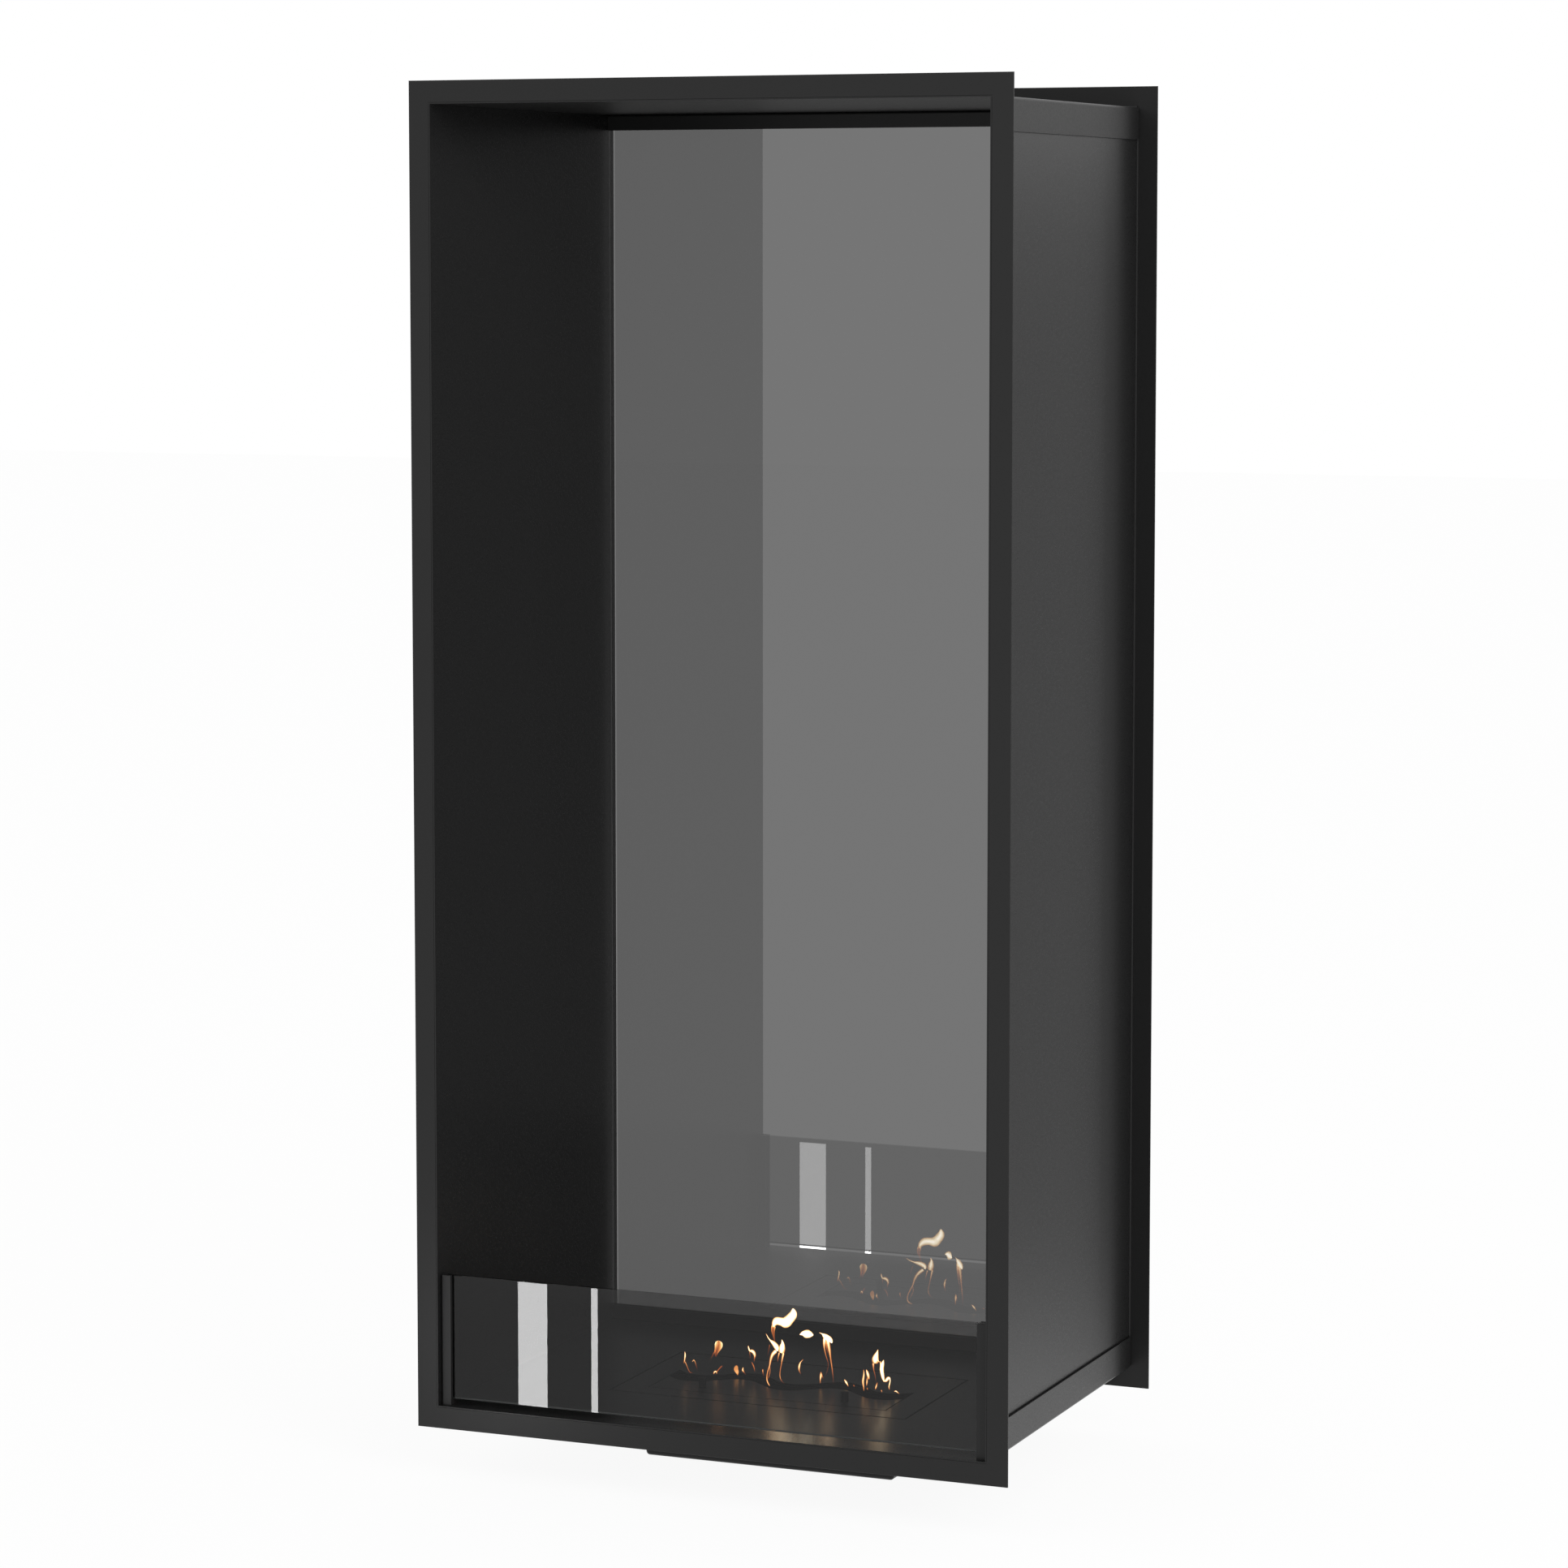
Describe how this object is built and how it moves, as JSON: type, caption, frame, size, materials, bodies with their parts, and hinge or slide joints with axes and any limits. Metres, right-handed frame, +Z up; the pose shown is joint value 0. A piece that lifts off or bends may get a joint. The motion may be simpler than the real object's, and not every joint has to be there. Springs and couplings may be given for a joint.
{
  "type": "bioethanol fireplace",
  "caption": "Tall built-in bioethanol fireplace: black steel case open in front, tinted glass back, low glass guard, wave-slot burner with a sliding lid.",
  "frame": {"origin": "middle of the edge where the wall's surface, which the rear face of the front trim frame lies on, meets the niche floor, which the case's underside lies on", "axes": "+X to the viewer's right, +Y from the room into the wall, +Z up"},
  "size_m": [0.6, 0.412, 1.3275],
  "materials": {
    "case_coat": "fine-textured matt powder coat, near black",
    "black_coat": "smooth matt black",
    "burner_coat": "heat-resistant satin black",
    "knob_coat": "satin black, turned",
    "tinted_glass": "polished, dark grey tint",
    "grey_glass": "polished, grey tint",
    "glass_tape": "woven glass-fibre tape, black",
    "pad_rubber": "matt black silicone",
    "rivet_steel": "bright steel",
    "tank_coat": "fine-textured matt black coat",
    "screen_steel": "mill-finish stainless steel",
    "fastener_steel": "bright stainless steel",
    "ceramic_fibre": "white ceramic-fibre felt"
  },
  "bodies": {
    "firebox": {"front_trim_frame": "case_coat", "rear_trim_frame": "case_coat", "right_side_panel": "case_coat", "left_side_panel": "case_coat", "top_panel": "case_coat", "bottom_panel": "case_coat", "rear_glass": "tinted_glass", "rear_glass_bottom_rail": "black_coat", "rear_glass_top_rail": "black_coat", "rear_glass_bottom_seal": "glass_tape", "rear_glass_top_seal": "glass_tape", "right_glass_holder": "case_coat", "left_glass_holder": "case_coat", "right_holder_lining": "pad_rubber", "left_holder_lining": "pad_rubber", "holder_rivets": "rivet_steel", "right_rest_pad": "pad_rubber", "left_rest_pad": "pad_rubber"},
    "low_glass": {"front_glass": "grey_glass"},
    "burner": {"burner_plate": "burner_coat", "burner_deck": "burner_coat", "burner_tank": "tank_coat", "fuel_absorber": "ceramic_fibre", "absorber_screen": "screen_steel"},
    "slider": {"slider_lid": "burner_coat", "right_slider_knob": "knob_coat", "left_slider_knob": "knob_coat", "slider_washers": "fastener_steel", "slider_nuts": "fastener_steel"}
  },
  "joints": [
    {"name": "front_glass_lift", "type": "slide", "parent": "firebox", "child": "low_glass", "axis": [0, 0, 1], "range_m": [0, 0.125]},
    {"name": "burner_lift", "type": "slide", "parent": "firebox", "child": "burner", "axis": [0, 0, 1], "range_m": [0, 0.08]},
    {"name": "lid_slide", "type": "slide", "parent": "burner", "child": "slider", "axis": [0, 1, 0], "range_m": [0, 0.0256]}
  ]
}
